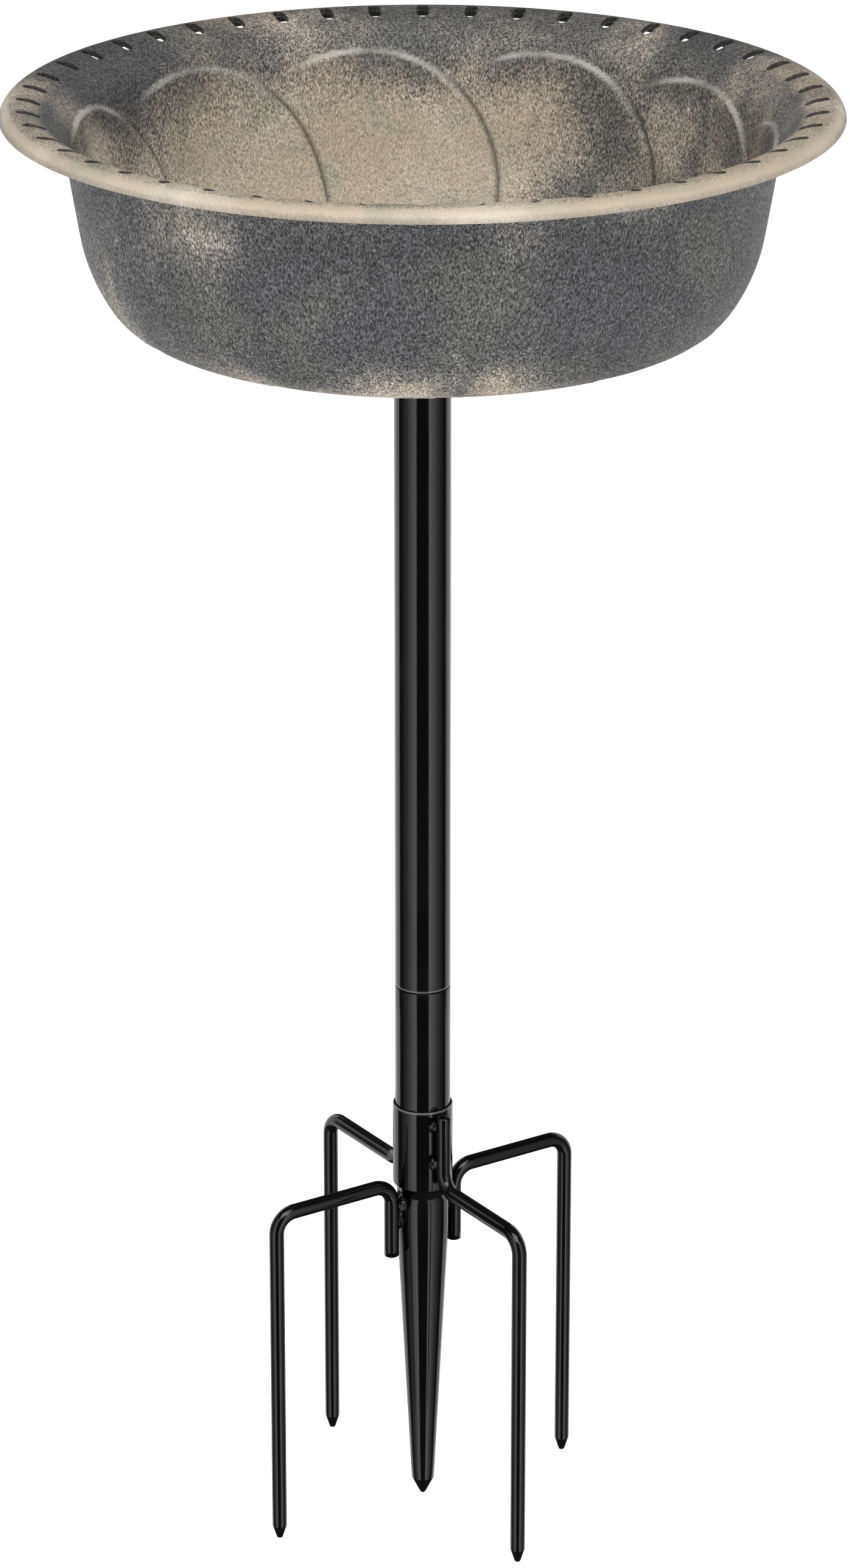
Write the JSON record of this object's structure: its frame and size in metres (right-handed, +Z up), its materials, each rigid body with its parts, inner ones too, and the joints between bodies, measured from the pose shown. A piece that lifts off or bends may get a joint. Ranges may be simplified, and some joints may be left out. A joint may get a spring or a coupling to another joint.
{
  "type": "bird feeder on pole",
  "caption": "Round plastic feeder bowl with a slotted rolled rim and petal relief, screwed to a black steel pole that stands in a five-point ground stake.",
  "frame": {"origin": "on the pole's axis, in the plane where the straight legs of the four prongs begin, which is the ground's surface in use", "axes": "+Z up along the pole, -Y towards the front of the feeder"},
  "size_m": [0.3198, 0.3198, 0.593],
  "materials": {
    "bowl": "satin, weathered dark grey with tan patches",
    "brass": "turned",
    "rubber": "matt",
    "zinc_steel": "zinc plated",
    "black_steel": "gloss black powder coat"
  },
  "bodies": {
    "stake": {"stake_sleeve": "black_steel", "centre_spike": "black_steel", "prong_front_left": "black_steel", "prong_front_right": "black_steel", "prong_back_left": "black_steel", "prong_back_right": "black_steel", "prong_welds": "black_steel"},
    "lower_pole": {"lower_pole_tube": "black_steel"},
    "upper_pole": {"upper_pole_tube": "black_steel", "pole_top_stud": "zinc_steel"},
    "washer": {"bowl_washer": "rubber"},
    "bowl": {"feeder_bowl": "bowl", "bowl_insert": "brass"}
  },
  "joints": [
    {"name": "lower_pole_lift", "type": "slide", "parent": "stake", "child": "lower_pole", "axis": [0, 0, 1], "range_m": [0, 0.04]},
    {"name": "upper_pole_lift", "type": "slide", "parent": "lower_pole", "child": "upper_pole", "axis": [0, 0, 1], "range_m": [0, 0.04]},
    {"name": "bowl_lift", "type": "slide", "parent": "upper_pole", "child": "washer", "axis": [0, 0, 1], "range_m": [0, 0.0132]},
    {"name": "bowl_unscrew", "type": "hinge", "parent": "washer", "child": "bowl", "pos_m": [0, 0, 0.347], "axis": [0, 0, 1], "range_deg": [0, 2700]}
  ],
  "couplings": [
    {"joint": "bowl_lift", "follows": "bowl_unscrew", "m_per_rad": 0.00027852}
  ]
}
